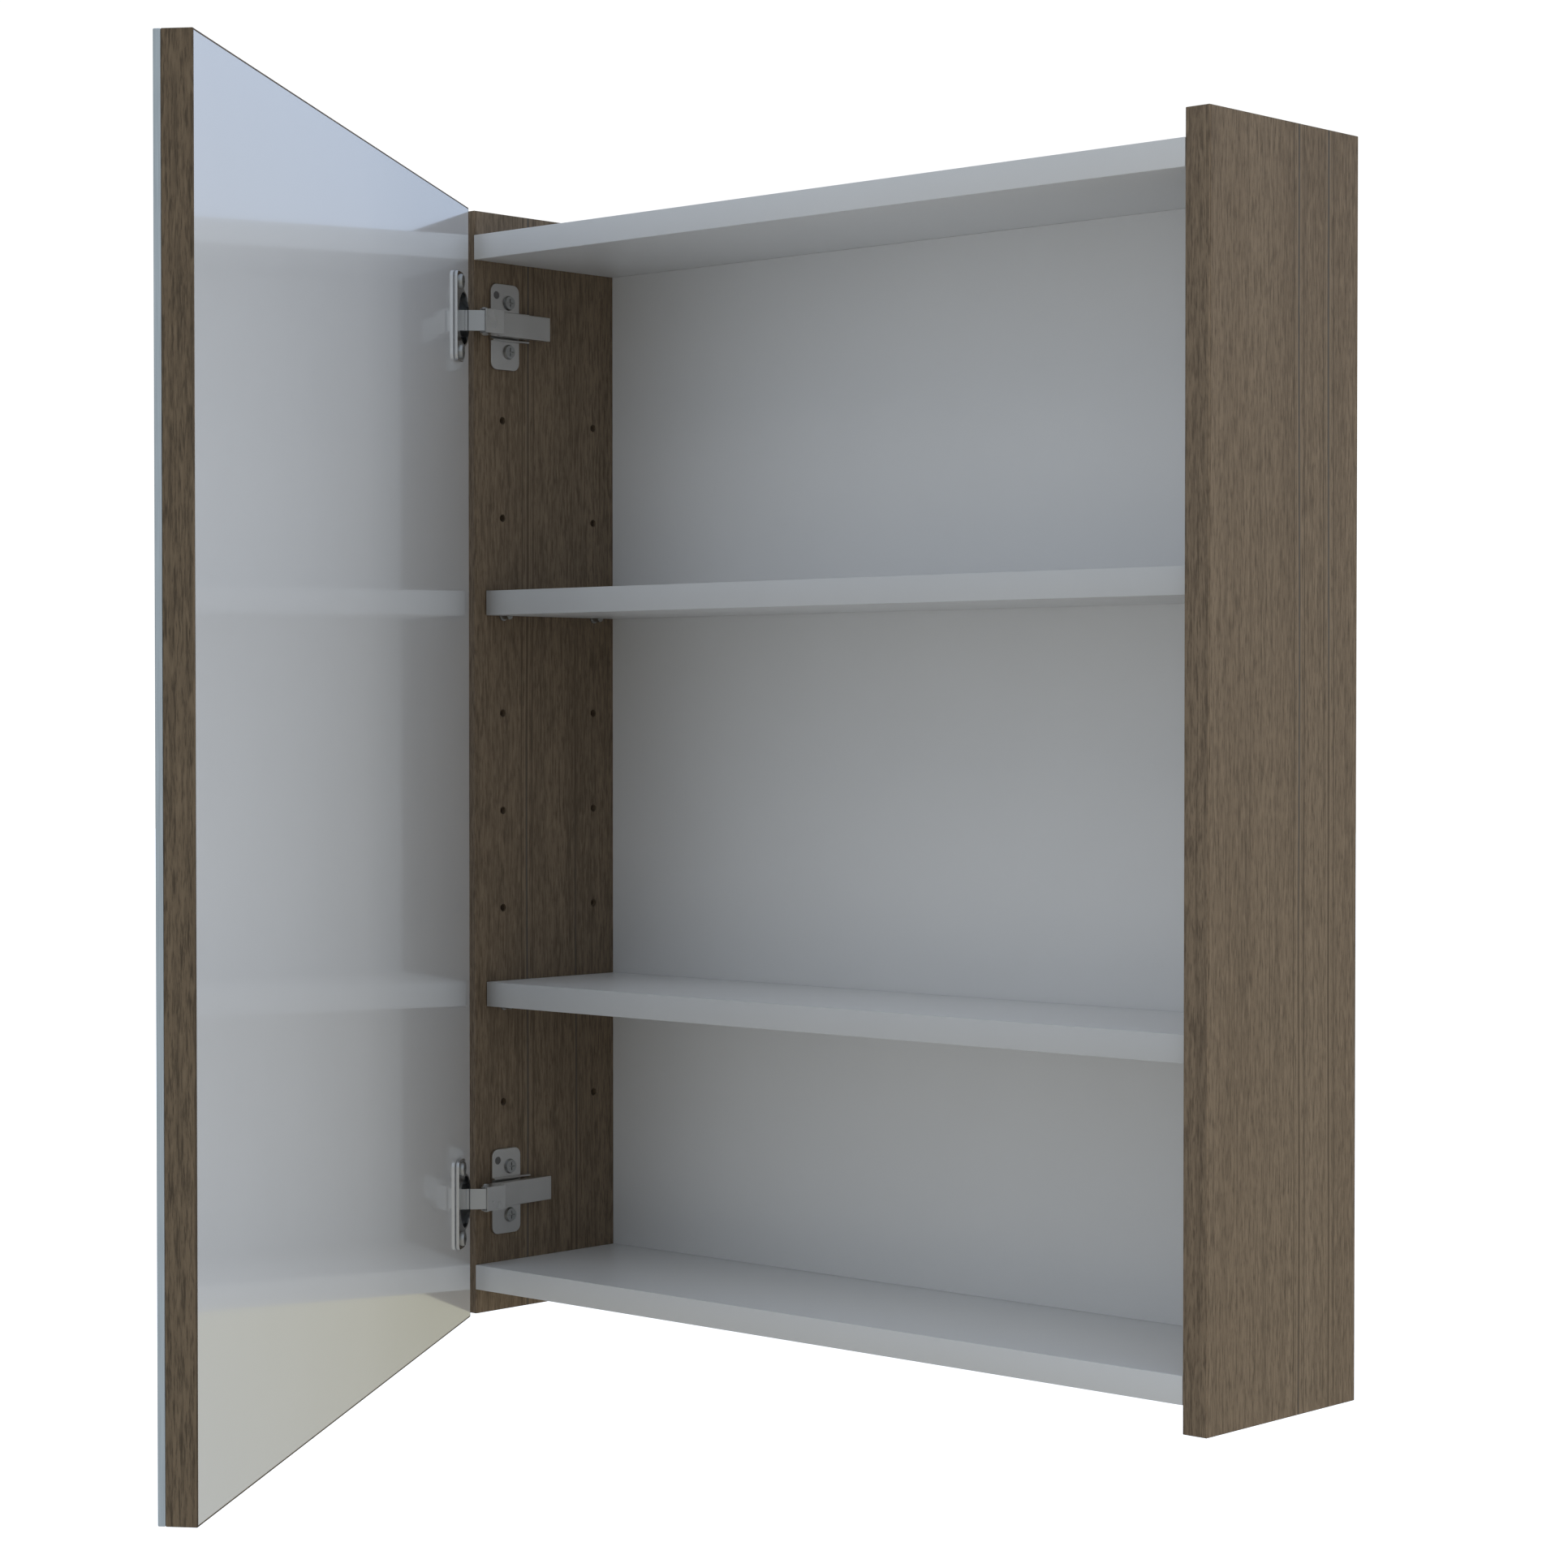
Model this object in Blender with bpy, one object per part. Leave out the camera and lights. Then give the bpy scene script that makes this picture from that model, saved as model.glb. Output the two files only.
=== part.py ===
"""Medicine cabinet with a mirrored door on two concealed cup hinges.

World frame in metres: +X right, +Y towards the wall, +Z up; origin on the upper hanging rail's rear face.
Carcass pieces use the corner frame: X from the left side's outer face, Y from the front, Z from the foot.
Door pieces use the door frame: X from the hinge-side edge, Y = 0 on the inner face, outwards is -Y.
The door stands 55 degrees open, and its hinges' links stand with it.
"""
import math

import bmesh
import bpy
from mathutils import Euler, Matrix, Vector

# Carcass
WIDTH = 0.600
HEIGHT = 0.720
DEPTH = 0.144
BOARD = 0.016
PANEL_SETBACK = 0.016  # top and bottom panels lie this far inside the sides' ends
BACK_FACE = 0.126
BACK_THICKNESS = 0.003
RAIL_HEIGHT = 0.060
CLEAT_RISE = 0.014
BAND = 0.0010
EDGE_ROUND = 0.0003
FIT = 0.0003
HAIRLINE = 0.0001
OVERSHOOT = 0.001  # cutters run this far past the face they open
INNER_WIDTH = WIDTH - 2 * BOARD
MOUNT_HEIGHT = HEIGHT - PANEL_SETBACK - BOARD - RAIL_HEIGHT / 2

# Shelves and their pins
SHELF_SETBACK = 0.0094
SHELF_SIDE_GAP = 0.001
SHELF_REAR_GAP = 0.0005
HOLE_RADIUS = 0.0025
HOLE_DEPTH = 0.010
HOLE_COLUMNS = (0.0247, 0.1076)
FIRST_ROW = 0.137
ROW_PITCH = 0.064
ROWS = 8
SHELF_ROWS = {"lower_shelf": 1, "upper_shelf": 5}
PEG_RADIUS = 0.0022
PEG_DEPTH = 0.009
TONGUE_LENGTH = 0.007
COLLAR_RADIUS = 0.0034
COLLAR_THICKNESS = 0.0011
PIN_CUTTER = 0.010  # reach of the block that flattens a pin's top

# Dowels between the top or bottom panel and the sides
DOWEL_RADIUS = 0.0038
DOWEL_HOLE_RADIUS = 0.0040
DOWEL_PLACES = (0.034, 0.110)
DOWEL_IN_SIDE = 0.011
DOWEL_IN_PANEL = 0.019
DOWEL_SLACK = 0.0005
DOWEL_CHAMFER = 0.0010

# Door
DOOR_WIDTH = 0.595
DOOR_THICKNESS = 0.016
MIRROR_THICKNESS = 0.004
MIRROR_ROUNDING = 0.0004
OPEN_ANGLE = math.radians(55.0)
DOOR_CORNER = Vector((0.02235, -0.01075, 0))  # hinge-side inner edge where it stands open
CLOSED_CORNER = Vector((0.0025, -0.002, 0))

# Hinges
HINGE_HEIGHTS = {"lower": 0.0784, "upper": 0.646}
ARM_PIN = Vector((0.0365, -0.0095, 0))
INNER_PIN = Vector((0.0310, -0.0040, 0))
CUP_PIN = Vector((0.0110, -0.0080, 0))  # in the door frame
OUTER_LINK_ANGLE = math.radians(228)
OUTER_LINK_REACH = 0.021
INNER_LINK_ANGLE = math.radians(257.7)
INNER_LINK_REACH = 0.0112
PIN_HOLE_RADIUS = 0.0017
RIVET_RADIUS = 0.0014
RIVET_HEAD_RADIUS = 0.0023
RIVET_HEAD = 0.0006
WIRE_RADIUS = 0.0010
WIRE_END = 0.0103
WIRE_BEND_START = 0.0072
WIRE_BEND = 0.0016
WIRE_TAIL = 0.0045
ARM_HALF = 0.0078
ARM_REAR_HALF = 0.0069
SHEET = 0.0009
ARM_TOP = 0.0400
ARM_STEP_Y = 0.0048
ARM_STEP_RADIUS = 0.0008
ARM_LIP_Y = -0.0118
ARM_LIP_RADIUS = 0.0005
BOSS_RADIUS = 0.0031
INNER_BOSS_RADIUS = 0.0030
CLAMP_HOLE_RADIUS = 0.0026
CLAMP_SCREW_RADIUS = 0.0022
CLAMP_SLOT_HALF = (0.0003, 0.0016)
CLAMP_SLOT_DEPTH = 0.0008
LINK_HALF = 0.0066
INNER_LINK_HALF = 0.0036
LINK_KNUCKLE = 0.0022
INNER_LINK_KNUCKLE = 0.0025
INNER_LINK_SHEET = 0.0012
LINK_SHEET = 0.0012
LINK_GROOVE = 0.0005
PLATE_FACE = 0.0182
PLATE_MIDDLE = 0.0252
PLATE_HALF_WIDTH = 0.0126
PLATE_HALF_HEIGHT = 0.0280
PLATE_CORNER = 0.005
PLATE_ROUNDING = 0.0004
DIMPLE_PLACE = (0.0176, 0.0205)  # Y, and Z above the hinge's middle
DIMPLE_RADIUS = 0.0026
DIMPLE_DEPTH = 0.0004
PLATE_SCREW_Y = 0.0283
PLATE_SCREW_OFFSET = 0.016
CLAMP_SCREW_Y = 0.0370
SADDLE_HALF = 0.0048
SADDLE_TOP = 0.0245
SADDLE_ENDS = (0.0115, 0.0430)
RIB_NEAR = 0.0083
RIB_FAR = 0.0095
RIB_TOP = 0.0214
RIB_ENDS = (0.0120, 0.0440)
RIB_ROUNDING = 0.0002
CUP_CENTRE = 0.0230
CUP_HOLE_RADIUS = 0.0175
CUP_RADIUS = 0.0173
CUP_WALL = 0.0005
CUP_DEPTH = 0.0132
CUP_HOLE_DEPTH = 0.0135
CUP_FLOOR = 0.0006
CUP_RIM = 0.0009
FLANGE_HALF_HEIGHT = 0.0286
FLANGE_NEAR = 0.0245
FLANGE_FAR = 0.0435
FLANGE_THICKNESS = 0.0018
FLANGE_CORNER = 0.0040
CUP_SCREW = Vector((0.0325, 0, 0.0225))
SCREW_RADIUS = 0.0019
SCREW_HOLE_RADIUS = 0.0022
SCREW_LENGTH = 0.011
SCREW_HEAD_RADIUS = 0.0049
SCREW_HEAD = 0.0016
SLOT_HALF_LENGTH = 0.0026
SLOT_HALF_WIDTH = 0.0004
SLOT_DEPTH = 0.0009
SCREW_SLACK = 0.0001
SPRING_TURNS = 2.5
SPRING_RADIUS = 0.00155
SPRING_WIRE = 0.00032
SPRING_START = 0.0073
SPRING_PITCH = 0.0007

# Side views of the pressed arm and its cap: X, Y points of the straight stretches
ARM_STEP = ((0.0262, 0.0070), (0.0310, 0.0090), (0.0322, ARM_STEP_Y))
ARM_REAR = ((0.0312, 0.0042), (0.0274, 0.0530), (0.0225, 0.0530), (0.0225, 0.0095), (0.0270, 0.0042))
ARM_FRONT_ROOM = ((ARM_TOP - SHEET, 0.0039), (ARM_TOP - SHEET, -0.0220), (0.0200, -0.0220), (0.0200, 0.0050),
                  (0.0262, 0.0072), (0.0310, 0.0039))
ARM_REAR_ROOM = ((0.0303, 0.0030), (0.0265, 0.0540), (0.0200, 0.0540), (0.0200, 0.0030))
COVER_OUTER = ((0.0322, 0.0052), (0.0284, 0.0560), (0.0240, 0.0560), (0.0262, 0.0092), (0.0314, 0.0092))
COVER_ROOM = ((0.0315, 0.0040), (0.0277, 0.0550), (0.0200, 0.0550), (0.0200, 0.0040))
COVER_SHEET = 0.0006
COVER_ROUNDING = 0.0003

ROUND = 24
CUP_SIDES = 40
SMALL_ROUND = 16


def clear_scene():
    """Remove what the scene holds at the start."""
    for thing in list(bpy.context.scene.objects):
        bpy.data.objects.remove(thing, do_unlink=True)


def make_material(name, colour, roughness, metallic=0.0):
    """One Principled material."""
    made = bpy.data.materials.new(name)
    made.use_nodes = True
    shader = made.node_tree.nodes["Principled BSDF"]
    shader.inputs["Base Color"].default_value = (*colour, 1.0)
    shader.inputs["Roughness"].default_value = roughness
    shader.inputs["Metallic"].default_value = metallic
    made.diffuse_color = (*colour, 1.0)
    return made


def make_frame(name, place, parent=None, turn=0.0):
    """An empty that carries the pieces of one body."""
    frame = bpy.data.objects.new(name, None)
    frame.location = place
    frame.rotation_euler = Euler((0, 0, turn))
    frame.parent = parent
    bpy.context.scene.collection.objects.link(frame)
    return frame


def add_piece(name, shape, finish=None, smooth_angle=40):
    """Turn a bmesh into a named object, rounded where its faces meet gently."""
    bmesh.ops.recalc_face_normals(shape, faces=shape.faces)
    mesh = bpy.data.meshes.new(name)
    shape.to_mesh(mesh)
    shape.free()
    mesh.shade_smooth()
    mesh.set_sharp_from_angle(angle=math.radians(smooth_angle))
    if finish:
        mesh.materials.append(finish)
    piece = bpy.data.objects.new(name, mesh)
    bpy.context.scene.collection.objects.link(piece)
    return piece


def carry(piece, frame, place=(0, 0, 0)):
    """Hang a piece on its body's frame."""
    piece.parent = frame
    piece.location = place
    return piece


def combine(target, tool, operation="DIFFERENCE"):
    """Cut target with tool, or join them, and use tool up."""
    modifier = target.modifiers.new("Boolean", "BOOLEAN")
    modifier.operation = operation
    modifier.solver = "EXACT"
    modifier.object = tool
    depsgraph = bpy.context.evaluated_depsgraph_get()
    target_mesh = bpy.data.meshes.new_from_object(target.evaluated_get(depsgraph))
    target.modifiers.clear()
    target.data = target_mesh
    bpy.data.objects.remove(tool, do_unlink=True)
    return target


def box_shape(low, high, rounding=0.0):
    """A box from its lowest to its highest corner."""
    shape = bmesh.new()
    size = Vector(high) - Vector(low)
    middle = (Vector(high) + Vector(low)) / 2
    bmesh.ops.create_cube(shape, size=1.0, matrix=Matrix.Translation(middle) @ Matrix.Diagonal((*size, 1)))
    if rounding:
        bmesh.ops.bevel(
            shape, geom=shape.edges[:], offset=rounding, segments=1, affect="EDGES", profile=0.5
        )
    return shape


def prism_shape(outline, half, rounding=0.0):
    """A flat outline in X and Y, extruded along Z from -half to +half."""
    shape = bmesh.new()
    corners = [shape.verts.new((x, y, -half)) for x, y in outline]
    face = shape.faces.new(corners)
    grown = bmesh.ops.extrude_face_region(shape, geom=[face])
    moved = [item for item in grown["geom"] if isinstance(item, bmesh.types.BMVert)]
    bmesh.ops.translate(shape, verts=moved, vec=(0, 0, 2 * half))
    if rounding:
        bmesh.ops.recalc_face_normals(shape, faces=shape.faces)
        rims = [edge for edge in shape.edges if abs(edge.verts[0].co.z - edge.verts[1].co.z) < half]
        bmesh.ops.bevel(shape, geom=rims, offset=rounding, segments=2, affect="EDGES", profile=0.5)
    return shape


def rod_shape(start, end, radius, sides=ROUND, end_radius=None):
    """A closed cylinder or cone from start to end."""
    shape = bmesh.new()
    start, end = Vector(start), Vector(end)
    run = end - start
    turn = run.to_track_quat("Z", "Y").to_matrix().to_4x4()
    bmesh.ops.create_cone(
        shape, cap_ends=True, segments=sides, radius1=radius,
        radius2=radius if end_radius is None else end_radius, depth=run.length,
        matrix=Matrix.Translation((start + end) / 2) @ turn,
    )
    return shape


def arc(centre, radius, first, last, steps):
    """Points on an arc, angles in degrees."""
    points = []
    for step in range(steps + 1):
        angle = math.radians(first + (last - first) * step / steps)
        points.append((centre[0] + radius * math.cos(angle), centre[1] + radius * math.sin(angle)))
    return points


def rounded_rectangle(low_x, low_y, high_x, high_y, radius, steps=5):
    """An outline with four round corners."""
    points = arc((high_x - radius, high_y - radius), radius, 0, 90, steps)
    points += arc((low_x + radius, high_y - radius), radius, 90, 180, steps)
    points += arc((low_x + radius, low_y + radius), radius, 180, 270, steps)
    points += arc((high_x - radius, low_y + radius), radius, 270, 360, steps)
    return points


def capsule_outline(start, end, start_radius, end_radius, steps=10):
    """The outline of a strip that is round about two points."""
    run = math.degrees(math.atan2(end[1] - start[1], end[0] - start[0]))
    near = arc(start, start_radius, run + 90, run + 270, steps)
    return near + arc(end, end_radius, run - 90, run + 90, steps)


def bore(piece, start, end, radius, sides=ROUND):
    """Drill one round hole."""
    return combine(piece, add_piece("drill", rod_shape(start, end, radius, sides)))


# ---------------------------------------------------------------- carcass


def side_panel(name, outer, inner, frame, finish, hinged):
    """One side board with its shelf-pin holes, dowel holes and, on the hinge side, screw holes."""
    low, high = sorted((outer, inner))
    piece = add_piece(name, box_shape((low, BAND + HAIRLINE, 0), (high, DEPTH, HEIGHT), EDGE_ROUND), finish)
    inwards = 1 if inner > outer else -1
    mouth = inner + inwards * OVERSHOOT
    for column in HOLE_COLUMNS:
        for row in range(ROWS):
            height = FIRST_ROW + row * ROW_PITCH
            bore(piece, (mouth, column, height), (inner - inwards * HOLE_DEPTH, column, height),
                 HOLE_RADIUS, SMALL_ROUND)
    for height in dowel_heights():
        for place in DOWEL_PLACES:
            end = inner - inwards * (DOWEL_IN_SIDE + DOWEL_SLACK)
            bore(piece, (mouth, place, height), (end, place, height), DOWEL_HOLE_RADIUS, SMALL_ROUND)
    if hinged:
        for middle in HINGE_HEIGHTS.values():
            for offset in (-PLATE_SCREW_OFFSET, PLATE_SCREW_OFFSET):
                height = middle + offset
                end = inner - inwards * (SCREW_LENGTH + OVERSHOOT)
                bore(piece, (mouth, PLATE_SCREW_Y, height), (end, PLATE_SCREW_Y, height),
                     SCREW_HOLE_RADIUS, SMALL_ROUND)
    carry(piece, frame)


def front_edge_band(name, low, high, frame, finish):
    """The thin band on a side board's front edge."""
    carry(add_piece(name, box_shape((low, 0, 0), (high, BAND, HEIGHT), EDGE_ROUND), finish), frame)


def dowel_heights():
    """Middle heights of the bottom and the top panel."""
    return (PANEL_SETBACK + BOARD / 2, HEIGHT - PANEL_SETBACK - BOARD / 2)


def cross_panel(name, middle, frame, finish):
    """The top or bottom board, between the sides, drilled in its ends for dowels."""
    low = (BOARD + HAIRLINE, 0, middle - BOARD / 2)
    high = (WIDTH - BOARD - HAIRLINE, DEPTH, middle + BOARD / 2)
    piece = add_piece(name, box_shape(low, high, EDGE_ROUND), finish)
    for place in DOWEL_PLACES:
        for end, inwards in ((BOARD, 1), (WIDTH - BOARD, -1)):
            bottom = end + inwards * (DOWEL_IN_PANEL + DOWEL_SLACK)
            bore(piece, (end - inwards * OVERSHOOT, place, middle), (bottom, place, middle),
                 DOWEL_HOLE_RADIUS, SMALL_ROUND)
    carry(piece, frame)


def dowels(frame, finish):
    """Two fluteless dowels with chamfered ends in each corner joint."""
    for level, height in zip(("bottom", "top"), dowel_heights()):
        for hand, end, inwards in (("left", BOARD, 1), ("right", WIDTH - BOARD, -1)):
            for which, place in zip(("front", "rear"), DOWEL_PLACES):
                start = (end - inwards * DOWEL_IN_SIDE, place, height)
                finish_at = (end + inwards * DOWEL_IN_PANEL, place, height)
                shape = rod_shape(start, finish_at, DOWEL_RADIUS, SMALL_ROUND)
                rims = [edge for edge in shape.edges if abs(edge.verts[0].co.x - edge.verts[1].co.x) < 1e-6]
                bmesh.ops.bevel(shape, geom=rims, offset=DOWEL_CHAMFER, segments=1, affect="EDGES")
                carry(add_piece(f"{level}_{hand}_{which}_dowel", shape, finish), frame)


def back_panel(frame, finish):
    """The thin back board between sides, top and bottom."""
    low = (BOARD + HAIRLINE, BACK_FACE, PANEL_SETBACK + BOARD + HAIRLINE)
    high = (WIDTH - BOARD - HAIRLINE, BACK_FACE + BACK_THICKNESS, HEIGHT - PANEL_SETBACK - BOARD - HAIRLINE)
    carry(add_piece("back_panel", box_shape(low, high), finish), frame)


def hanging_rails(frame, finish):
    """Two rails behind the back panel; the upper one is cut to a hook that sits on a wall batten."""
    front = BACK_FACE + BACK_THICKNESS + HAIRLINE
    top = HEIGHT - PANEL_SETBACK - BOARD - HAIRLINE
    half = INNER_WIDTH / 2 - HAIRLINE
    foot = top - RAIL_HEIGHT
    outline = [(front, top), (front, foot), (DEPTH, foot + CLEAT_RISE), (DEPTH, top)]
    piece = add_piece("upper_hanging_rail", prism_shape(outline, half), finish)
    piece.data.transform(Matrix(((0, 0, 1, WIDTH / 2), (1, 0, 0, 0), (0, 1, 0, 0), (0, 0, 0, 1))))
    carry(piece, frame)
    bottom = PANEL_SETBACK + BOARD + HAIRLINE
    low = (WIDTH / 2 - half, front, bottom)
    high = (WIDTH / 2 + half, DEPTH, bottom + RAIL_HEIGHT)
    carry(add_piece("lower_hanging_rail", box_shape(low, high), finish), frame)


def shelf_pin(name, wall, inwards, place, height, frame, finish):
    """A metal pin: peg in the side, collar against it, flat-topped half-round tongue under the shelf."""
    collar_end = wall + inwards * (HAIRLINE + COLLAR_THICKNESS)
    piece = add_piece(name, rod_shape((wall - inwards * PEG_DEPTH, place, height),
                                      (collar_end, place, height), PEG_RADIUS, SMALL_ROUND), finish)
    collar = rod_shape((wall + inwards * HAIRLINE, place, height), (collar_end, place, height), COLLAR_RADIUS,
                       SMALL_ROUND)
    combine(piece, add_piece("collar", collar), "UNION")
    tongue = rod_shape((wall + inwards * HAIRLINE * 2, place, height),
                       (wall + inwards * TONGUE_LENGTH, place, height), HOLE_RADIUS, SMALL_ROUND)
    combine(piece, add_piece("tongue", tongue), "UNION")
    low_x, high_x = sorted((wall + inwards * HAIRLINE / 2, wall + inwards * (TONGUE_LENGTH + OVERSHOOT)))
    above = box_shape((low_x, place - PIN_CUTTER, height - FIT),
                      (high_x, place + PIN_CUTTER, height + PIN_CUTTER))
    combine(piece, add_piece("above", above))
    carry(piece, frame)


def shelf_pins(frame, finish):
    """Four pins to a shelf."""
    for shelf, row in SHELF_ROWS.items():
        height = FIRST_ROW + row * ROW_PITCH
        for hand, wall, inwards in (("left", BOARD, 1), ("right", WIDTH - BOARD, -1)):
            for which, place in zip(("front", "rear"), HOLE_COLUMNS):
                shelf_pin(f"{shelf}_{hand}_{which}_pin", wall, inwards, place, height, frame, finish)


def shelf(name, row, cabinet, finish):
    """A loose board whose frame is where it rests on its pins."""
    height = FIRST_ROW + row * ROW_PITCH
    frame = make_frame(f"{name}_rest", (0, 0, height), cabinet)
    low = (BOARD + SHELF_SIDE_GAP, SHELF_SETBACK, 0)
    high = (WIDTH - BOARD - SHELF_SIDE_GAP, BACK_FACE - SHELF_REAR_GAP, BOARD)
    carry(add_piece(name, box_shape(low, high, EDGE_ROUND), finish), frame)


# ---------------------------------------------------------------- hinges


def screw(name, head_face, direction, length, finish, frame, place):
    """A pan-headed screw that goes in along direction, with a cross cut in its head."""
    head_face, direction = Vector(head_face), Vector(direction)
    crown = head_face - direction * SCREW_HEAD
    shape = rod_shape(head_face, crown, SCREW_HEAD_RADIUS, ROUND, SCREW_HEAD_RADIUS * 0.86)
    piece = add_piece(name, shape, finish)
    shank = rod_shape(head_face - direction * SCREW_HEAD / 2, head_face + direction * length, SCREW_RADIUS,
                      SMALL_ROUND, SCREW_RADIUS * 0.6)
    combine(piece, add_piece("shank", shank), "UNION")
    inward = Vector(abs(part) for part in direction)
    upright = Vector((0, 0, 1))
    for across, along in ((upright, inward.cross(upright)), (inward.cross(upright), upright)):
        half = inward * SLOT_DEPTH + across * SLOT_HALF_WIDTH + along * SLOT_HALF_LENGTH
        half = Vector(abs(part) for part in half)
        combine(piece, add_piece("slot", box_shape(crown - half, crown + half)))
    carry(piece, frame, place)


def mounting_plate(name, middle, frame, finish):
    """A pressed plate: raised saddle that the arm clamps on, and an upright rib on each side of it."""
    outline = rounded_rectangle(
        PLATE_MIDDLE - PLATE_HALF_WIDTH, -PLATE_HALF_HEIGHT,
        PLATE_MIDDLE + PLATE_HALF_WIDTH, PLATE_HALF_HEIGHT, PLATE_CORNER)
    half = (PLATE_FACE - BOARD - HAIRLINE) / 2
    piece = add_piece(name, prism_shape(outline, half, PLATE_ROUNDING), finish)
    stand = Matrix(((0, 0, 1, PLATE_FACE - half), (1, 0, 0, 0), (0, 1, 0, 0), (0, 0, 0, 1)))
    piece.data.transform(stand)
    saddle = box_shape((PLATE_FACE - SHEET, SADDLE_ENDS[0], -SADDLE_HALF),
                       (SADDLE_TOP, SADDLE_ENDS[1], SADDLE_HALF), PLATE_ROUNDING)
    combine(piece, add_piece("saddle", saddle), "UNION")
    for near, far in ((-RIB_FAR, -RIB_NEAR), (RIB_NEAR, RIB_FAR)):
        rib = box_shape((PLATE_FACE - SHEET, RIB_ENDS[0], near), (RIB_TOP, RIB_ENDS[1], far), RIB_ROUNDING)
        combine(piece, add_piece("rib", rib), "UNION")
    for offset in (-PLATE_SCREW_OFFSET, PLATE_SCREW_OFFSET):
        bore(piece, (BOARD - OVERSHOOT, PLATE_SCREW_Y, offset),
             (PLATE_FACE + OVERSHOOT, PLATE_SCREW_Y, offset), SCREW_HOLE_RADIUS + SCREW_SLACK, SMALL_ROUND)
    dimple_y, dimple_z = DIMPLE_PLACE
    bore(piece, (PLATE_FACE - DIMPLE_DEPTH, dimple_y, dimple_z), (PLATE_FACE + OVERSHOOT, dimple_y, dimple_z),
         DIMPLE_RADIUS)
    carry(piece, frame, (0, 0, middle))


def pin_hole(piece, x=0, y=0):
    """Drill an arm or a link for its rivet."""
    bore(piece, (x, y, -ARM_HALF - OVERSHOOT), (x, y, ARM_HALF + OVERSHOOT), PIN_HOLE_RADIUS, SMALL_ROUND)


def arm_front_outline():
    """Side view of the arm's raised front, with its two pin bosses."""
    outline = arc((ARM_TOP - ARM_STEP_RADIUS, ARM_STEP_Y - ARM_STEP_RADIUS), ARM_STEP_RADIUS, 90, 0, 3)
    outline += arc((ARM_TOP - ARM_LIP_RADIUS, ARM_LIP_Y + ARM_LIP_RADIUS), ARM_LIP_RADIUS, 0, -90, 3)
    outline += arc((ARM_PIN.x, ARM_PIN.y), BOSS_RADIUS, -48, -150, 8)
    outline += arc((INNER_PIN.x, INNER_PIN.y), INNER_BOSS_RADIUS, -150, -200, 4)
    return outline + list(ARM_STEP)


def hinge_arm(name, middle, frame, finish):
    """A sheet channel, open to the side panel: raised front with pin bosses, low rear on the saddle."""
    piece = add_piece(name, prism_shape(arm_front_outline(), ARM_HALF), finish)
    combine(piece, add_piece("rear", prism_shape(ARM_REAR, ARM_REAR_HALF)), "UNION")
    combine(piece, add_piece("front_room", prism_shape(ARM_FRONT_ROOM, ARM_HALF - SHEET)))
    combine(piece, add_piece("rear_room", prism_shape(ARM_REAR_ROOM, ARM_REAR_HALF - SHEET)))
    for pin in (ARM_PIN, INNER_PIN):
        pin_hole(piece, pin.x, pin.y)
    bore(piece, (SADDLE_TOP, CLAMP_SCREW_Y, 0), (ARM_TOP, CLAMP_SCREW_Y, 0), CLAMP_HOLE_RADIUS, SMALL_ROUND)
    carry(piece, frame, (0, 0, middle))


def arm_cover(name, middle, frame, finish):
    """A clip-on cap over the arm's rear part."""
    piece = add_piece(name, prism_shape(COVER_OUTER, ARM_HALF, COVER_ROUNDING), finish)
    combine(piece, add_piece("room", prism_shape(COVER_ROOM, ARM_HALF - COVER_SHEET)))
    carry(piece, frame, (0, 0, middle))


def arm_screw(name, place, middle, frame, finish):
    """An adjusting screw in the arm, down to the saddle."""
    (front_top, front), (rear_top, rear) = ARM_REAR[:2]
    top = front_top + (rear_top - front_top) * (place - front) / (rear - front)
    shape = rod_shape((SADDLE_TOP + FIT, place, 0), (top, place, 0), CLAMP_SCREW_RADIUS, SMALL_ROUND)
    piece = add_piece(name, shape, finish)
    for across, upright in (CLAMP_SLOT_HALF, CLAMP_SLOT_HALF[::-1]):
        slot = box_shape((top - CLAMP_SLOT_DEPTH, place - across, -upright),
                         (top + OVERSHOOT, place + across, upright))
        combine(piece, add_piece("slot", slot))
    carry(piece, frame, (0, 0, middle))


def rivet(name, pin, middle, frame, finish):
    """A pin through both cheeks of the arm, headed at both ends."""
    half = ARM_HALF + HAIRLINE
    end, crown = half + RIVET_HEAD, RIVET_HEAD_RADIUS * 0.7
    outline = [(0, -end), (crown, -end), (RIVET_HEAD_RADIUS, -half), (RIVET_RADIUS, -half),
               (RIVET_RADIUS, half), (RIVET_HEAD_RADIUS, half), (crown, end), (0, end)]
    shape = bmesh.new()
    corners = [shape.verts.new((x, 0, z)) for x, z in outline]
    edges = [shape.edges.new(pair) for pair in zip(corners, corners[1:])]
    bmesh.ops.spin(shape, geom=corners + edges, axis=(0, 0, 1), cent=(0, 0, 0), angle=math.tau,
                   steps=SMALL_ROUND, use_merge=True)
    bmesh.ops.remove_doubles(shape, verts=shape.verts, dist=1e-6)
    carry(add_piece(name, shape, finish), frame, (pin.x, pin.y, middle))


def door_pivot():
    """The fixed point that turns the door's corner from its closed to its open place."""
    run = DOOR_CORNER - CLOSED_CORNER
    square = Vector((run.y, -run.x, 0))
    return (DOOR_CORNER + CLOSED_CORNER) / 2 + square / (2 * math.tan(OPEN_ANGLE / 2))


def direction(angle):
    """A level unit vector."""
    return Vector((math.cos(angle), math.sin(angle), 0))


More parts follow.
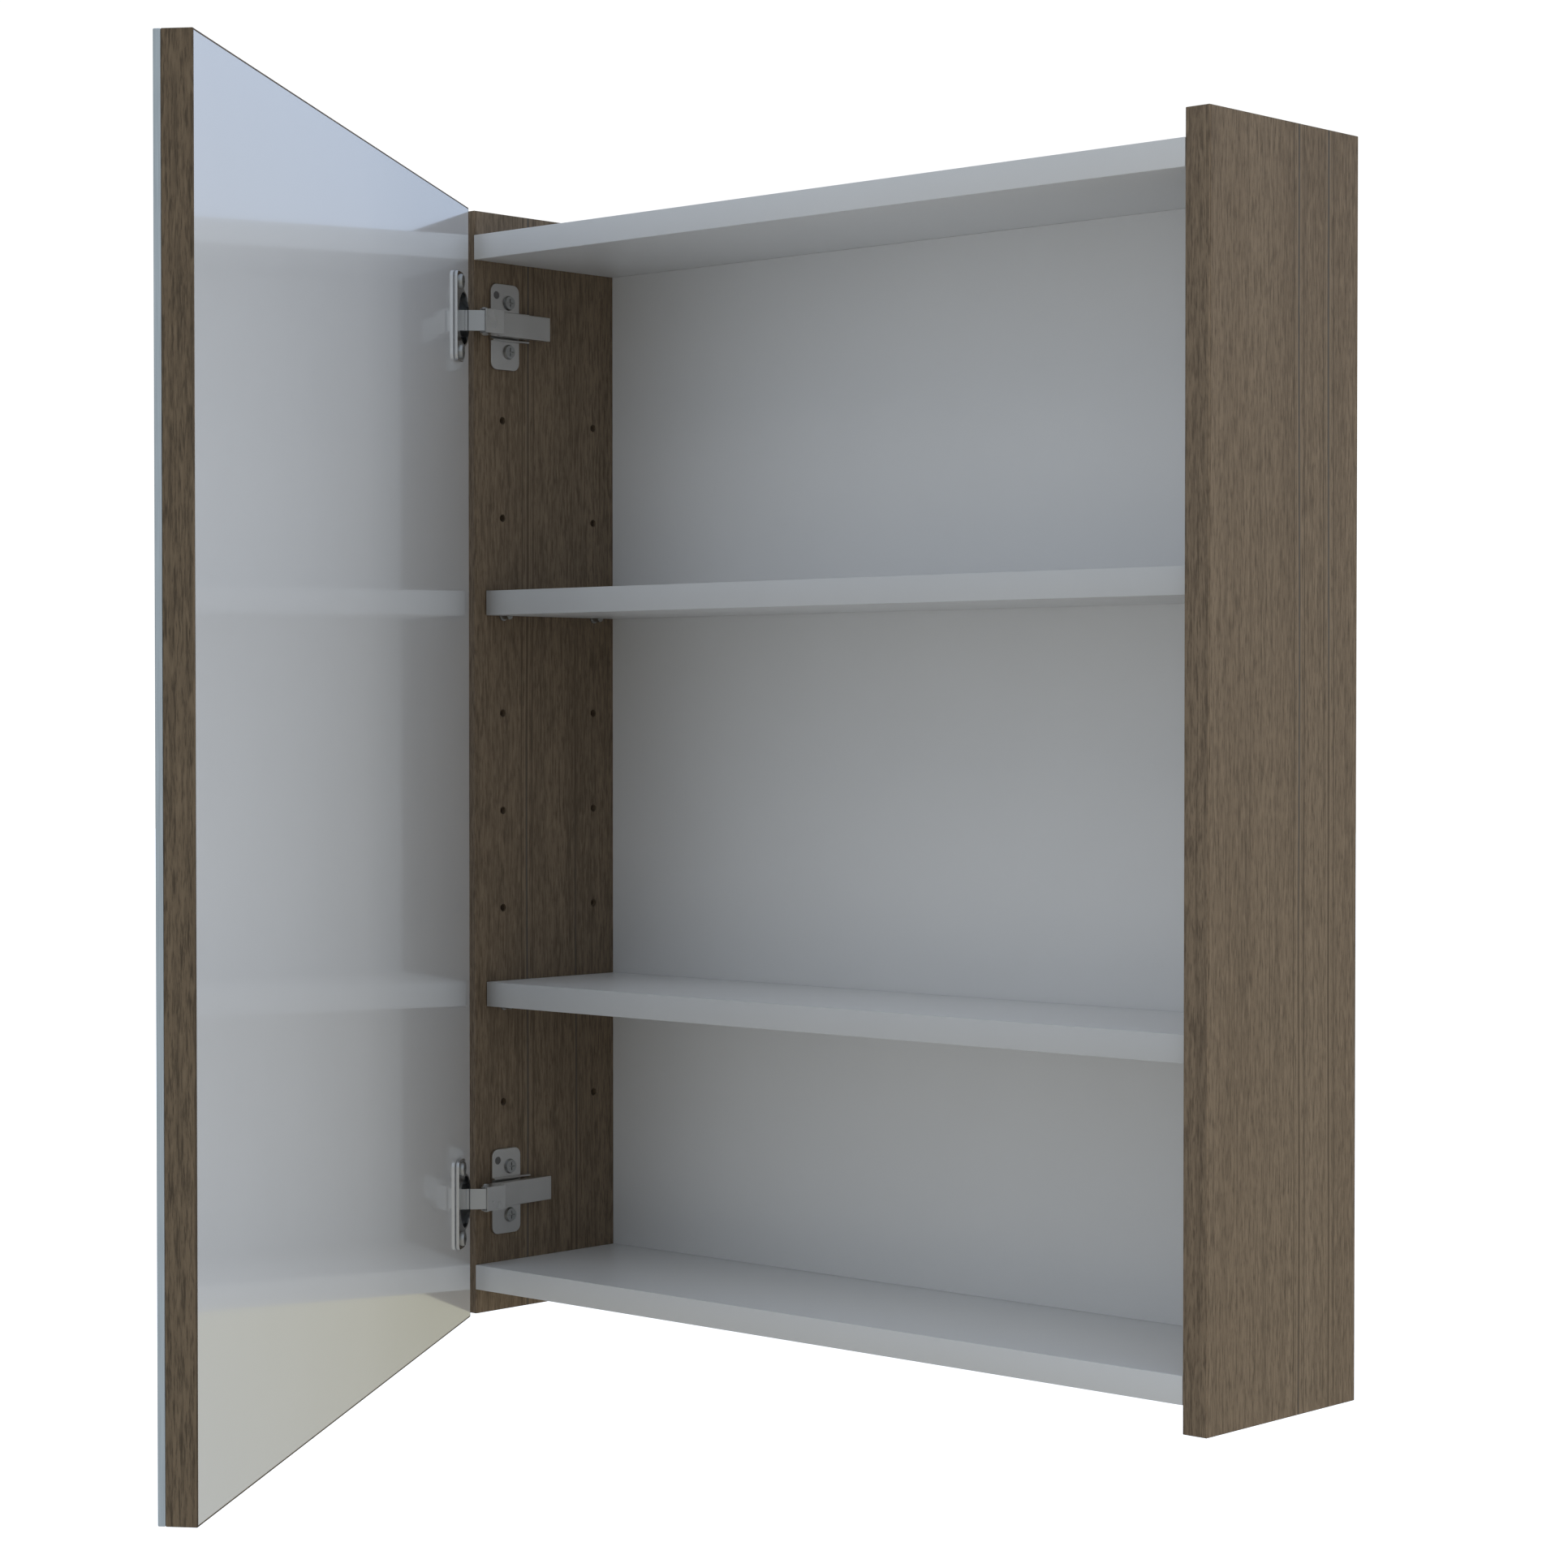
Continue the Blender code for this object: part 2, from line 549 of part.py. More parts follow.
def outer_link(name, frame, place, finish):
    """The broad link: knuckle round the arm's front pin, grooved strip that reaches into the cup."""
    along = direction(OUTER_LINK_ANGLE)
    outward = Vector((-along.y, along.x, 0))
    piece = add_piece(name, prism_shape(arc((0, 0), LINK_KNUCKLE, 0, 345, 23), LINK_HALF), finish)
    outer, inner = LINK_KNUCKLE, LINK_KNUCKLE - LINK_SHEET
    strip = []
    for run, offset in ((0, outer), (0.50, outer), (0.54, outer - LINK_GROOVE), (0.60, outer - LINK_GROOVE),
                        (0.64, outer), (0.98, outer), (1, outer - LINK_SHEET / 4), (1, inner), (0.65, inner),
                        (0.61, inner - LINK_GROOVE), (0.53, inner - LINK_GROOVE), (0.49, inner), (0, inner)):
        point = along * (run * OUTER_LINK_REACH) + outward * offset
        strip.append((point.x, point.y))
    combine(piece, add_piece("strip", prism_shape(strip, LINK_HALF)), "UNION")
    pin_hole(piece)
    carry(piece, frame, place)


def inner_link(name, frame, place, finish):
    """The narrow link: knuckle round the arm's rear pin, open end that stops at the cup's mouth."""
    knuckle = arc((0, 0), INNER_LINK_KNUCKLE, 0, 345, 23)
    piece = add_piece(name, prism_shape(knuckle, INNER_LINK_HALF), finish)
    end = direction(INNER_LINK_ANGLE) * INNER_LINK_REACH
    bar = capsule_outline((0, 0), (end.x, end.y), INNER_LINK_SHEET / 2, INNER_LINK_SHEET / 2, 4)
    combine(piece, add_piece("bar", prism_shape(bar, INNER_LINK_HALF)), "UNION")
    pin_hole(piece)
    carry(piece, frame, place)


def hinge_cup(name, frame, place, finish):
    """The round cup sunk in the door, with a flange whose two wings take the screws."""
    flange = rounded_rectangle(FLANGE_NEAR, -FLANGE_HALF_HEIGHT, FLANGE_FAR, FLANGE_HALF_HEIGHT,
                               FLANGE_CORNER)
    stand = Matrix(((1, 0, 0, 0), (0, 0, 1, FIT + FLANGE_THICKNESS / 2), (0, 1, 0, 0), (0, 0, 0, 1)))
    piece = add_piece(name, prism_shape(flange, FLANGE_THICKNESS / 2, PLATE_ROUNDING), finish)
    piece.data.transform(stand)
    piece.data.flip_normals()
    rim_top = FIT + FLANGE_THICKNESS * 0.8
    cylinder = rod_shape((CUP_CENTRE, rim_top, 0), (CUP_CENTRE, -CUP_DEPTH, 0), CUP_RADIUS, CUP_SIDES)
    combine(piece, add_piece("cylinder", cylinder), "UNION")
    rim = rod_shape((CUP_CENTRE, FIT, 0), (CUP_CENTRE, rim_top, 0), CUP_RADIUS + CUP_RIM, CUP_SIDES)
    combine(piece, add_piece("rim", rim), "UNION")
    hollow = rod_shape((CUP_CENTRE, rim_top + OVERSHOOT, 0), (CUP_CENTRE, CUP_FLOOR - CUP_DEPTH, 0),
                       CUP_RADIUS - CUP_WALL, CUP_SIDES)
    combine(piece, add_piece("hollow", hollow))
    for offset in (-CUP_SCREW.z, CUP_SCREW.z):
        bore(piece, (CUP_SCREW.x, -OVERSHOOT, offset), (CUP_SCREW.x, rim_top + OVERSHOOT, offset),
             SCREW_HOLE_RADIUS + SCREW_SLACK, SMALL_ROUND)
    carry(piece, frame, place)


def tube(name, points, radius, finish, frame, place, sides=3):
    """A bent wire through points."""
    curve = bpy.data.curves.new(name, "CURVE")
    curve.dimensions = "3D"
    curve.bevel_depth = radius
    curve.bevel_resolution = sides
    curve.use_fill_caps = True
    line = curve.splines.new("POLY")
    line.points.add(len(points) - 1)
    for point, spot in zip(line.points, points):
        point.co = (*spot, 1.0)
    curve.materials.append(finish)
    piece = bpy.data.objects.new(name, curve)
    bpy.context.scene.collection.objects.link(piece)
    carry(piece, frame, place)


def cup_wire(name, frame, place, finish):
    """The wire across the cup, beside the outer link, its upper end bent over towards the cup's middle."""
    points = [CUP_PIN + Vector((0, 0, -WIRE_END)), CUP_PIN + Vector((0, 0, WIRE_BEND_START))]
    for step in range(1, 7):
        angle = math.pi / 2 * step / 6
        points.append(CUP_PIN + Vector((WIRE_BEND * (1 - math.cos(angle)), 0,
                                        WIRE_BEND_START + WIRE_BEND * math.sin(angle))))
    points.append(CUP_PIN + Vector((WIRE_TAIL, 0, WIRE_BEND_START + WIRE_BEND)))
    tube(name, points, WIRE_RADIUS, finish, frame, place)


def closing_spring(name, frame, place, finish):
    """A small coil round the wire's lower end, beside the links."""
    points = []
    steps = int(SPRING_TURNS * 12)
    for step in range(steps + 1):
        turn = math.tau * step / 12
        points.append((CUP_PIN.x + SPRING_RADIUS * math.cos(turn),
                       CUP_PIN.y + SPRING_RADIUS * math.sin(turn),
                       -SPRING_START - SPRING_PITCH * step / 12))
    tube(name, points, SPRING_WIRE, finish, frame, place, 1)


# ---------------------------------------------------------------- door


def door_panel(frame, place, finish):
    """The door board with its two cup bores and the cup screws' holes."""
    edge = BAND + HAIRLINE
    piece = add_piece("door_panel", box_shape((edge, -DOOR_THICKNESS, edge),
                                              (DOOR_WIDTH - edge, 0, HEIGHT - edge), 0), finish)
    for middle in HINGE_HEIGHTS.values():
        bore(piece, (CUP_CENTRE, OVERSHOOT, middle), (CUP_CENTRE, -CUP_HOLE_DEPTH, middle), CUP_HOLE_RADIUS,
             CUP_SIDES)
        for offset in (-CUP_SCREW.z, CUP_SCREW.z):
            bore(piece, (CUP_SCREW.x, OVERSHOOT, middle + offset),
                 (CUP_SCREW.x, -SCREW_LENGTH - OVERSHOOT, middle + offset), SCREW_HOLE_RADIUS, SMALL_ROUND)
    carry(piece, frame, place)


def door_edge_band(frame, place, finish):
    """The band round the door's four edges, one closed ring."""
    shape = box_shape((0, -DOOR_THICKNESS, 0), (DOOR_WIDTH, 0, HEIGHT), EDGE_ROUND)
    piece = add_piece("door_edge_band", shape, finish)
    inside = box_shape((BAND, -DOOR_THICKNESS - OVERSHOOT, BAND),
                       (DOOR_WIDTH - BAND, OVERSHOOT, HEIGHT - BAND))
    combine(piece, add_piece("inside", inside))
    carry(piece, frame, place)


def mirror(frame, place, finish):
    """The glass bonded on the door's outer face, with ground edges."""
    outer = -DOOR_THICKNESS - MIRROR_THICKNESS
    shape = box_shape((0, outer, 0), (DOOR_WIDTH, -DOOR_THICKNESS - HAIRLINE, HEIGHT), MIRROR_ROUNDING)
    carry(add_piece("mirror_glass", shape, finish), frame, place)


def build():
    """Make every body's frame and hang its pieces on it."""
    wood = make_material("wood_decor", (0.153, 0.122, 0.088), 0.55)
    band = make_material("wood_edge_band", (0.130, 0.102, 0.072), 0.5)
    white = make_material("white_melamine", (0.72, 0.73, 0.74), 0.35)
    gloss = make_material("gloss_white_door_board", (0.74, 0.76, 0.78), 0.08)
    raw = make_material("raw_board", (0.42, 0.31, 0.20), 0.8)
    beech = make_material("beech_dowel", (0.50, 0.34, 0.19), 0.7)
    nickel = make_material("nickel_plate", (0.55, 0.55, 0.54), 0.32, 1.0)
    steel = make_material("zinc_screw", (0.48, 0.48, 0.47), 0.4, 1.0)
    silver = make_material("mirror", (0.88, 0.90, 0.91), 0.02, 1.0)

    cabinet = make_frame("cabinet", (-WIDTH / 2, -DEPTH, -MOUNT_HEIGHT))
    side_panel("left_side_panel", 0, BOARD, cabinet, wood, True)
    side_panel("right_side_panel", WIDTH, WIDTH - BOARD, cabinet, wood, False)
    front_edge_band("left_front_edge_band", 0, BOARD, cabinet, band)
    front_edge_band("right_front_edge_band", WIDTH - BOARD, WIDTH, cabinet, band)
    bottom_middle, top_middle = dowel_heights()
    cross_panel("bottom_panel", bottom_middle, cabinet, white)
    cross_panel("top_panel", top_middle, cabinet, white)
    dowels(cabinet, beech)
    back_panel(cabinet, white)
    hanging_rails(cabinet, raw)
    shelf_pins(cabinet, steel)
    for name, row in SHELF_ROWS.items():
        shelf(name, row, cabinet, white)

    outer_links = make_frame("outer_link_pivot", ARM_PIN, cabinet)
    inner_links = make_frame("inner_link_pivot", INNER_PIN, cabinet)
    pivot = door_pivot()
    door = make_frame("door_pivot", pivot, cabinet, -OPEN_ANGLE)
    in_door = CLOSED_CORNER - pivot
    door_panel(door, in_door, gloss)
    door_edge_band(door, in_door, band)
    mirror(door, in_door, silver)
    for side, middle in HINGE_HEIGHTS.items():
        mounting_plate(f"{side}_mounting_plate", middle, cabinet, nickel)
        for where, offset in (("low", -PLATE_SCREW_OFFSET), ("high", PLATE_SCREW_OFFSET)):
            screw(f"{side}_{where}_plate_screw", (PLATE_FACE + HAIRLINE, PLATE_SCREW_Y, offset), (-1, 0, 0),
                  SCREW_LENGTH, steel, cabinet, (0, 0, middle))
        hinge_arm(f"{side}_hinge_arm", middle, cabinet, nickel)
        arm_cover(f"{side}_arm_cover", middle, cabinet, nickel)
        arm_screw(f"{side}_depth_clamp_screw", CLAMP_SCREW_Y, middle, cabinet, steel)
        rivet(f"{side}_outer_link_rivet", ARM_PIN, middle, cabinet, steel)
        rivet(f"{side}_inner_link_rivet", INNER_PIN, middle, cabinet, steel)
        outer_link(f"{side}_outer_link", outer_links, (0, 0, middle), nickel)
        inner_link(f"{side}_inner_link", inner_links, (0, 0, middle), nickel)
        at_cup = in_door + Vector((0, 0, middle))
        hinge_cup(f"{side}_hinge_cup", door, at_cup, nickel)
        for where, offset in (("low", -CUP_SCREW.z), ("high", CUP_SCREW.z)):
            screw(f"{side}_{where}_cup_screw", (CUP_SCREW.x, FIT * 2 + FLANGE_THICKNESS, offset), (0, -1, 0),
                  SCREW_LENGTH, steel, door, at_cup)
        cup_wire(f"{side}_cup_wire", door, at_cup, steel)
        closing_spring(f"{side}_closing_spring", door, at_cup, steel)


clear_scene()
build()
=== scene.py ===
"""The looks of a wall-hung medicine cabinet whose mirrored door stands 55 degrees open on two cup hinges.

World: +X right, +Y towards the wall, +Z up, in metres. The door stands open at rest, as in the photograph.
"""

import math

import bmesh
import bpy
from mathutils import Euler, Matrix, Vector


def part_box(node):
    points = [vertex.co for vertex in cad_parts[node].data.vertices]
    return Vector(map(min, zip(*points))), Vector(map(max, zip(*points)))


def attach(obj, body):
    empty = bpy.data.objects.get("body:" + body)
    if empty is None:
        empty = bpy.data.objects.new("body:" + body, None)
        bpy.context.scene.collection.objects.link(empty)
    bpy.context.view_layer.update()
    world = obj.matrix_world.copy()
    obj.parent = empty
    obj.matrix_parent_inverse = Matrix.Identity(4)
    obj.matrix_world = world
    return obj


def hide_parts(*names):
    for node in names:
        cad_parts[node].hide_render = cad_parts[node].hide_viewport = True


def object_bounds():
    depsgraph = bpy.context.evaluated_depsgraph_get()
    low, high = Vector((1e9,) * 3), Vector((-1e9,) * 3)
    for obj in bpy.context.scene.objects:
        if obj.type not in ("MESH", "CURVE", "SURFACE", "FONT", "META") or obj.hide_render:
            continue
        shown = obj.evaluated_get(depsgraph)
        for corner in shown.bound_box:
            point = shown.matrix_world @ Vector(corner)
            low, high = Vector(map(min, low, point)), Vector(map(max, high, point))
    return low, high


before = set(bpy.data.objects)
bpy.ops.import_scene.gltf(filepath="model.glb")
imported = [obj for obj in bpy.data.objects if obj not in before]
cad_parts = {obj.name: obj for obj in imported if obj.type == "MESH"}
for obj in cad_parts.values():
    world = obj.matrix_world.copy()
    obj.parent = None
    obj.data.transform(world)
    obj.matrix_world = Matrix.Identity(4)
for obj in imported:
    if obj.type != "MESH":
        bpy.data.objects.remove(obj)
cad_low, cad_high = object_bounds()

HINGES = ("lower", "upper")

# The camera's place, aim and lens
CAMERA_PLACE = (1.39967, -1.68008, -0.26744)
CAMERA_TURN = math.radians(42.551)
CAMERA_DIP = math.radians(-1.105)
CAMERA_LENS = 79.87
SENSOR_WIDTH = 36.0
CAMERA_REACH = 100.0

# Clean copies of CAD nodes
MERGE_DISTANCE = 2e-6
FLAT_ANGLE = math.radians(0.5)
ROUNDED_ANGLE = math.radians(30)  # an edge turned less than this isn't rounded
SMOOTH_ANGLE = math.radians(35)
ROOM_SHARE = 0.4  # part of a small face that a rounded edge may take
LEAST_SHARE = 0.05  # least part of the bevel that a sharp edge takes
STANDS_OFF = 0.7  # an edge whose direction has less than this in common with another stands off it
FACE_AREA_WEIGHT = 100

STRIP_THICKNESS = 0.0004
STRIP_ROUNDING = 0.00032
# The dimple's floor takes painted shade.
DIMPLE_LEAST, DIMPLE_MOST = 0.0002, 0.0008  # the dimple's floor lies this far under the plate's face
PANE_BROAD = 0.2  # a face of the pane with more than this part of the largest one's area is silvered
MOSTLY = 0.9  # a normal with more than this along an axis faces that way

DOOR_OPEN = math.radians(55)  # at rest

# The cup flange: how far it reaches along the door, the upper part of it that is raised, and how much
FLANGE_REACH = 0.0191
FLANGE_UPPER = 0.0009
FLANGE_RAISE = 0.0004

FLOOR_DROP = 1.25
FLOOR_REACH = 40.0

# Noise in the wood film: scale across the grain, scale along it, detail and roughness
FIBRES = (640, 52, 4.0, 0.7)
PORES = (1300, 140, 2.0, 0.5)
STREAKS = (300, 4.0, 4.0, 0.65)
BANDS = (26, 1.3, 3.0, 0.5)
FLECKS = (520, 70, 2.0, 0.5)
SWAY = (5.0, 1.6, 2.0, 0.55)
SWAY_WIDTH = 0.008

# Thin lines in the wood film: spacing, offset from the seam, half width, scale of the fading along
# the grain, and the noise values between which a line fades in
SEAMS = (0.010, 0.0, 0.0006, 3.0, 0.60, 0.70)
PALE_LINES = (0.034, 0.0017, 0.0009, 0.8, 0.47, 0.55)
SHADOW_LINES = (0.034, 0.0050, 0.0008, 0.9, 0.49, 0.56)
HALOS = (0.034, 0.0, 0.0014, 0.7, 0.45, 0.52)
CORES = (0.034, 0.0, 0.0006, 1.6, 0.53, 0.60)

END_FACE = 0.7  # a face whose normal has more than this along Z shows lying grain
HEAVY_SHARE, GENTLE_SHARE, MOST_SHARE = 0.78, 0.42, 0.9  # how strongly dark fibres and streaks show

# How much darker the mottling is on films and on metals, and the scales of fine directional noise
FILM_TINT = 0.02
METAL_SMUDGE = 0.05
METAL_SCRATCHES = (2600, 2600, 90)
GROUND_SCORES = (2400, 2400, 30)
BEECH_GRAIN = (60, 900, 900)

# Film colours: light, middle and dark brown, and the grey of the thin lines
SIDE_TONES = ((0.218, 0.163, 0.108), (0.176, 0.129, 0.084), (0.083, 0.060, 0.038), (0.080, 0.085, 0.087))
# The front bands' browns are lighter than the sides': painted light on the front edges.
FRONT_BAND_PAINTED_LIGHT_TONES = ((0.250, 0.187, 0.125), (0.198, 0.146, 0.096), (0.082, 0.059, 0.039), (0.066, 0.058, 0.050))
DOOR_TONES = ((0.184, 0.138, 0.089), (0.146, 0.107, 0.068), (0.060, 0.044, 0.028), (0.050, 0.044, 0.037))

# Soft light in front of the wall and behind it, from straight below (0) to straight above (1)
FRONT_LIGHT = (
    (0.0, (0.46, 0.46, 0.445)),
    (0.40, (0.49, 0.475, 0.43)),
    (0.52, (0.52, 0.54, 0.55)),
    (0.75, (0.56, 0.63, 0.72)),
    (1.0, (0.54, 0.61, 0.71)),
)
BEHIND_LIGHT = (
    (0.0, (0.46, 0.46, 0.44)),
    (0.36, (0.47, 0.465, 0.42)),
    (0.44, (0.49, 0.462, 0.29)),
    (0.485, (0.50, 0.48, 0.36)),
    (0.515, (0.52, 0.55, 0.57)),
    (0.60, (0.56, 0.70, 0.96)),
    (1.0, (0.54, 0.62, 0.78)),
)
BEHIND_FROM, BEHIND_FULLY = 0.25, 0.60  # how far a direction points towards the wall
LIGHT_STRENGTH = 0.88
BACKDROP_STRENGTH = 1.05

# Hinge pieces that get rounded edges: part, body, bevel, finish and rim finish; the rim finish "dull" is
# dark nickel that paints shadow lines along the rounded edges
HINGE_LOOKS = (
    ("mounting_plate", "carcass", 0.0008, "nickel", "bright"),
    ("hinge_arm", "carcass", 0.0004, "arm nickel", "dull"),
    ("arm_cover", "carcass", 0.0005, "nickel", "dull"),
    ("outer_link", "outer_links", 0.0002, "link nickel", "dull"),
    ("inner_link", "inner_links", 0.0002, "link nickel", "dull"),
    ("hinge_cup", "door", 0.0005, "bright", "bright"),
)

# White boards with an edge strip: node, body and the strip's finish, a film darker than the boards' white
# that paints shade on the front edges
STRIPPED_BOARDS = (
    ("bottom_panel", "carcass", "panel strip"),
    ("top_panel", "carcass", "panel strip"),
    ("upper_shelf", "upper_shelf", "shelf strip"),
    ("lower_shelf", "lower_shelf", "shelf strip"),
)


# ---------------------------------------------------------------- node graphs


def new_material(name):
    """A material with a Principled shader, and its node tree."""
    made = bpy.data.materials.new(name)
    made.use_nodes = True
    return made, made.node_tree, made.node_tree.nodes["Principled BSDF"]


def node(tree, kind, settings=None, inputs=None):
    """A node with its settings and its unlinked inputs; an input given as a socket is linked."""
    made = tree.nodes.new(kind)
    for key, value in (settings or {}).items():
        setattr(made, key, value)
    for key, value in (inputs or {}).items():
        if isinstance(value, bpy.types.NodeSocket):
            tree.links.new(value, made.inputs[key])
        else:
            made.inputs[key].default_value = value
    return made


def ramp(tree, factor, stops):
    """A colour ramp over factor; stops are (place, colour)."""
    made = node(tree, "ShaderNodeValToRGB", inputs={"Fac": factor})
    elements = made.color_ramp.elements
    while len(elements) < len(stops):
        elements.new(0.5)
    for element, (place, colour) in zip(elements, stops):
        element.position = place
        element.color = (*colour, 1.0)
    return made.outputs["Color"]


def grey(value):
    """A grey colour."""
    return (value, value, value)


def mixed(tree, factor, first, second, blend="MIX"):
    """Two colours mixed."""
    made = node(tree, "ShaderNodeMix", {"data_type": "RGBA", "blend_type": blend})
    for socket, value in ((made.inputs[0], factor), (made.inputs[6], first), (made.inputs[7], second)):
        if isinstance(value, bpy.types.NodeSocket):
            tree.links.new(value, socket)
        else:
            socket.default_value = (*value, 1.0) if isinstance(value, tuple) else value
    return made.outputs[2]


def maths(tree, operation, first, second=0.5):
    """A Math node's value; ABSOLUTE takes the first number alone."""
    made = node(tree, "ShaderNodeMath", {"operation": operation})
    for socket, value in zip(made.inputs, (first, second)):
        if isinstance(value, bpy.types.NodeSocket):
            tree.links.new(value, socket)
        else:
            socket.default_value = value
    return made.outputs[0]


def noise(tree, vector, scale, detail=3.0, roughness=0.55):
    """Noise over a vector."""
    inputs = {"Vector": vector, "Scale": scale, "Detail": detail, "Roughness": roughness}
    return node(tree, "ShaderNodeTexNoise", inputs=inputs).outputs["Fac"]


def object_place(tree):
    """A surface point's place on its object."""
    return node(tree, "ShaderNodeTexCoord").outputs["Object"]


def scaled(tree, vector, scale):
    """A vector stretched by scale."""
    return node(tree, "ShaderNodeMapping", inputs={"Vector": vector, "Scale": scale}).outputs[0]


def bumped(tree, shader, height, distance, strength):
    """A bump from height on the shader."""
    inputs = {"Height": height, "Distance": distance, "Strength": strength}
    made = node(tree, "ShaderNodeBump", inputs=inputs)
    tree.links.new(made.outputs["Normal"], shader.inputs["Normal"])


def coloured(tree, shader, colour):
    """The shader's base colour from a socket."""
    tree.links.new(colour, shader.inputs["Base Color"])


def roughened(tree, shader, value, low, high):
    """The shader's roughness from a noise value; low and high are (noise value, roughness)."""
    stops = ((low[0], grey(low[1])), (high[0], grey(high[1])))
    tree.links.new(ramp(tree, value, stops), shader.inputs["Roughness"])


# ---------------------------------------------------------------- materials


def grain_vector(tree, along_x, place):
    """Object coordinates turned so that the grain runs along Z, and on ends along Y, or along X if asked."""
    coords = node(tree, "ShaderNodeTexCoord")
    split = node(tree, "ShaderNodeSeparateXYZ", inputs={"Vector": coords.outputs["Object"]})
    x, y, z = split.outputs
    upright = node(tree, "ShaderNodeCombineXYZ", inputs={"X": x, "Y": y, "Z": z}).outputs[0]
    across, along = (y, x) if along_x else (x, y)
    lying = node(tree, "ShaderNodeCombineXYZ", inputs={"X": z, "Y": across, "Z": along}).outputs[0]
    normal = node(tree, "ShaderNodeSeparateXYZ", inputs={"Vector": coords.outputs["Normal"]}).outputs["Z"]
    is_end = maths(tree, "GREATER_THAN", maths(tree, "ABSOLUTE", normal), END_FACE)
    turned = node(tree, "ShaderNodeMix", {"data_type": "VECTOR"})
    tree.links.new(is_end, turned.inputs[0])
    tree.links.new(upright, turned.inputs[4])
    tree.links.new(lying, turned.inputs[5])
    moved = node(tree, "ShaderNodeMapping", inputs={"Vector": turned.outputs[1], "Location": place})
    return moved.outputs[0]


def height_of(tree, value):
    """A noise value as a height."""
    return ramp(tree, value, ((0.2, grey(0.0)), (0.8, grey(1.0))))


def wood(name, tones, place=(0, 0, 0), contrast=1.0, along_x=False):
    """Grey-brown wood-grain film: short fibres, long streaks, broad bands and a few straight thin lines."""
    light, middle, dark, line = tones
    made, tree, shader = new_material(name)
    vector = grain_vector(tree, along_x, place)

    def stretched(across_scale, along_scale, detail, roughness):
        """Noise drawn out along the grain."""
        squeezed = scaled(tree, vector, (across_scale, across_scale, along_scale))
        return noise(tree, squeezed, 1.0, detail, roughness)

    x, y, _ = node(tree, "ShaderNodeSeparateXYZ", inputs={"Vector": vector}).outputs
    sway = maths(tree, "MULTIPLY", stretched(*SWAY), SWAY_WIDTH)
    across = maths(tree, "ADD", maths(tree, "ADD", x, y), sway)

    def thin_lines(spacing, offset, width, along, low, high):
        """Straight thin lines beside unevenly placed seams, each fading in and out along its length."""
        kind = {"voronoi_dimensions": "1D", "feature": "DISTANCE_TO_EDGE"}
        cells = node(tree, "ShaderNodeTexVoronoi", kind, {"W": across, "Scale": 1.0 / spacing})
        start = max(0.0, offset - width) / spacing
        peak = offset / spacing
        end = (offset + width) / spacing
        rise = ((start, grey(0.0)),) if offset else ()
        core = ramp(tree, cells.outputs["Distance"], (*rise, (peak, grey(1.0)), (end, grey(0.0))))
        fading = stretched(1.2 / spacing, along, 2.0, 0.5)
        fade = ramp(tree, fading, ((low, grey(0.0)), (high, grey(1.0))))
        return mixed(tree, 1.0, core, fade, "MULTIPLY")

    fibres = stretched(*FIBRES)
    pores = stretched(*PORES)
    streaks = stretched(*STREAKS)
    bands = stretched(*BANDS)
    heavy = grey(min(MOST_SHARE, HEAVY_SHARE * contrast))
    gentle = grey(min(MOST_SHARE, GENTLE_SHARE * contrast))
    surface = ramp(tree, bands, ((0.36, middle), (0.64, light)))
    surface = mixed(tree, ramp(tree, streaks, ((0.34, gentle), (0.55, grey(0.0)))), surface, dark)
    surface = mixed(tree, ramp(tree, fibres, ((0.36, heavy), (0.53, grey(0.0)))), surface, dark)
    surface = mixed(tree, ramp(tree, pores, ((0.32, grey(0.65)), (0.47, grey(0.0)))), surface, dark)
    flecks = ramp(tree, stretched(*FLECKS), ((0.54, grey(0.0)), (0.70, grey(0.75))))
    surface = mixed(tree, flecks, surface, light)
    line_tones = (
        (SEAMS, dark),
        (PALE_LINES, light),
        (SHADOW_LINES, dark),
        (HALOS, dark),
        (CORES, line),
    )
    for lines, tone in line_tones:
        surface = mixed(tree, thin_lines(*lines), surface, tone)
    coloured(tree, shader, surface)
    roughened(tree, shader, fibres, (0.3, 0.64), (0.7, 0.50))
    shader.inputs["Specular IOR Level"].default_value = 0.30
    relief = mixed(tree, 0.5, height_of(tree, fibres), height_of(tree, streaks))
    bumped(tree, shader, relief, 0.0002, 0.6)
    return made


def film(name, colour, roughness, peel=0.00003, coat=0.0):
    """A smooth film on board: faint mottling, faint orange peel, optional clear gloss."""
    made, tree, shader = new_material(name)
    place = object_place(tree)
    cloud = noise(tree, place, 9.0, 4.0)
    fine = noise(tree, place, 900.0, 2.0)
    darker = tuple(channel * (1 - FILM_TINT) for channel in colour)
    mottled = ramp(tree, cloud, ((0.3, darker), (0.7, colour)))
    speckles = ramp(tree, fine, ((0.55, grey(0.0)), (0.9, grey(0.25))))
    coloured(tree, shader, mixed(tree, speckles, mottled, darker))
    roughened(tree, shader, cloud, (0.2, roughness * 0.85), (0.8, roughness * 1.15))
    shader.inputs["Coat Weight"].default_value = coat
    shader.inputs["Coat Roughness"].default_value = 0.045
    bumped(tree, shader, fine, peel, 0.4)
    return made


